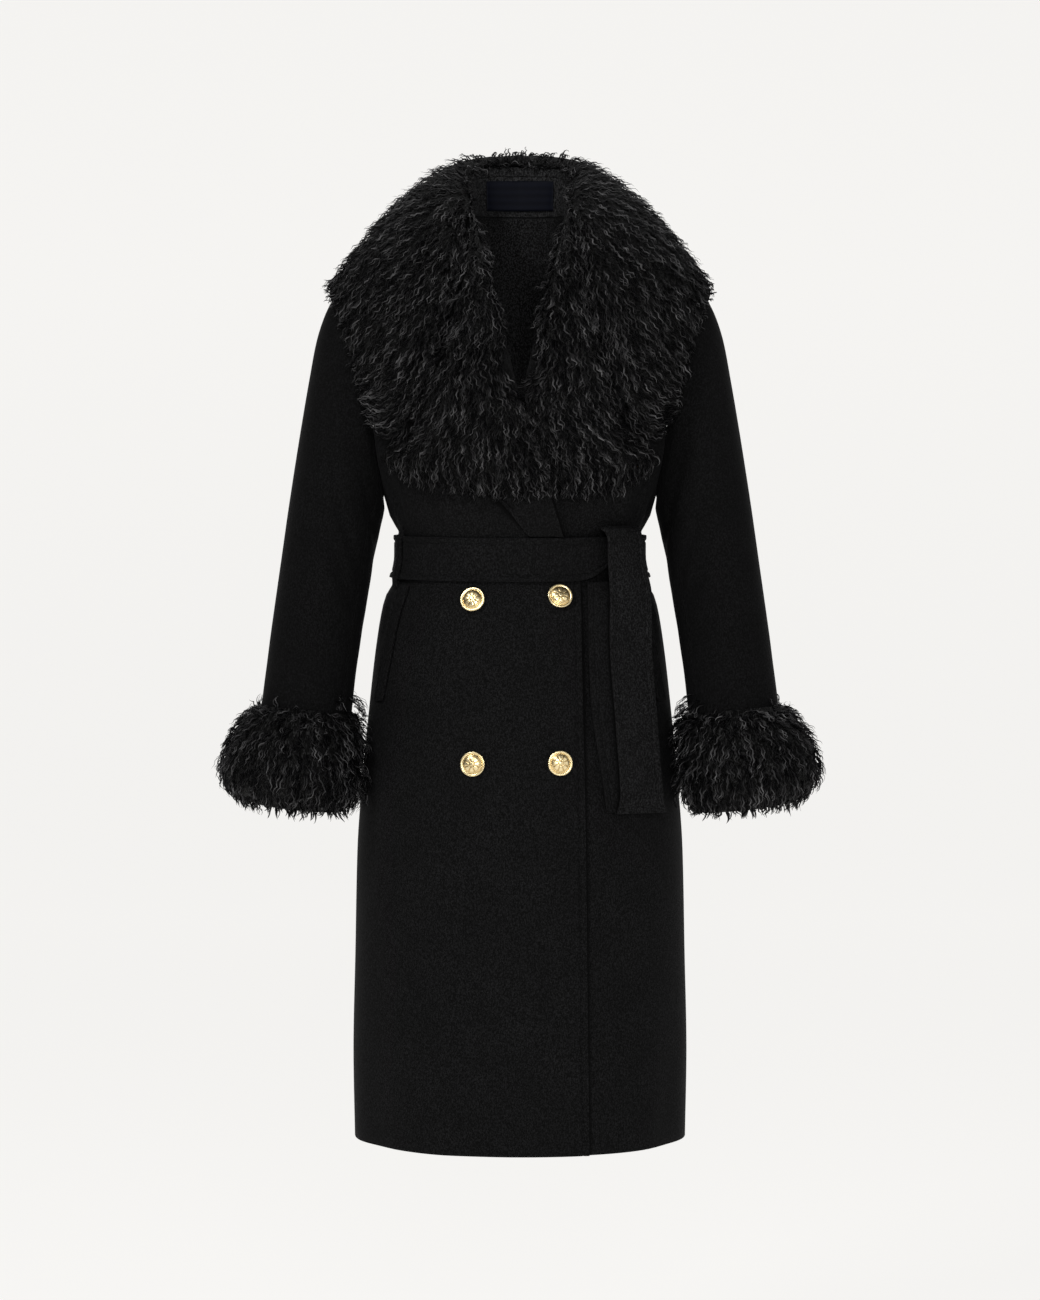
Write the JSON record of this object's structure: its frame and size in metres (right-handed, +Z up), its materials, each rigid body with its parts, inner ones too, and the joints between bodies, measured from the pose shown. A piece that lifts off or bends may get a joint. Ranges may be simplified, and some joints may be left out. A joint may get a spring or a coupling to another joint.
{
  "type": "overcoat",
  "caption": "Belted double-breasted wool midi overcoat with a notched fur collar and lapels, fur cuffs and a self tie belt, in its worn shape.",
  "frame": {"origin": "midway between the two side-neck points, where the coat hangs on its wearer", "axes": "+Z up along the coat's length, -Y to the front, +X to the wearer's left"},
  "size_m": [0.6922, 0.2983, 1.1365],
  "materials": {
    "wool": "black double-faced wool coating with a short brushed nap",
    "fur": "black long curly lamb fur, glossy",
    "gold": "polished gold-coloured metal with a low raised rosette",
    "label_satin": "dark navy satin, bare"
  },
  "bodies": {
    "root": {"front_right": "wool", "front_left": "wool", "back_right": "wool", "back_left": "wool", "sleeve_upper_right": "wool", "sleeve_upper_left": "wool", "sleeve_under_right": "wool", "sleeve_under_left": "wool", "collar_stand": "wool", "under_collar": "wool", "neck_label": "label_satin", "lapel_right": "wool", "lapel_left": "wool", "fur_collar": "fur", "fur_lapel_right": "fur", "fur_lapel_left": "fur", "fur_cuff_right": "fur", "fur_cuff_left": "fur", "belt_band": "wool", "belt_knot": "wool", "belt_tail_front": "wool", "belt_tail_under": "wool", "belt_loop_right": "wool", "belt_loop_left": "wool", "pocket_welt_right": "wool", "pocket_welt_left": "wool", "button_top_right": "gold", "button_top_left": "gold", "button_low_right": "gold", "button_low_left": "gold"}
  },
  "joints": []
}
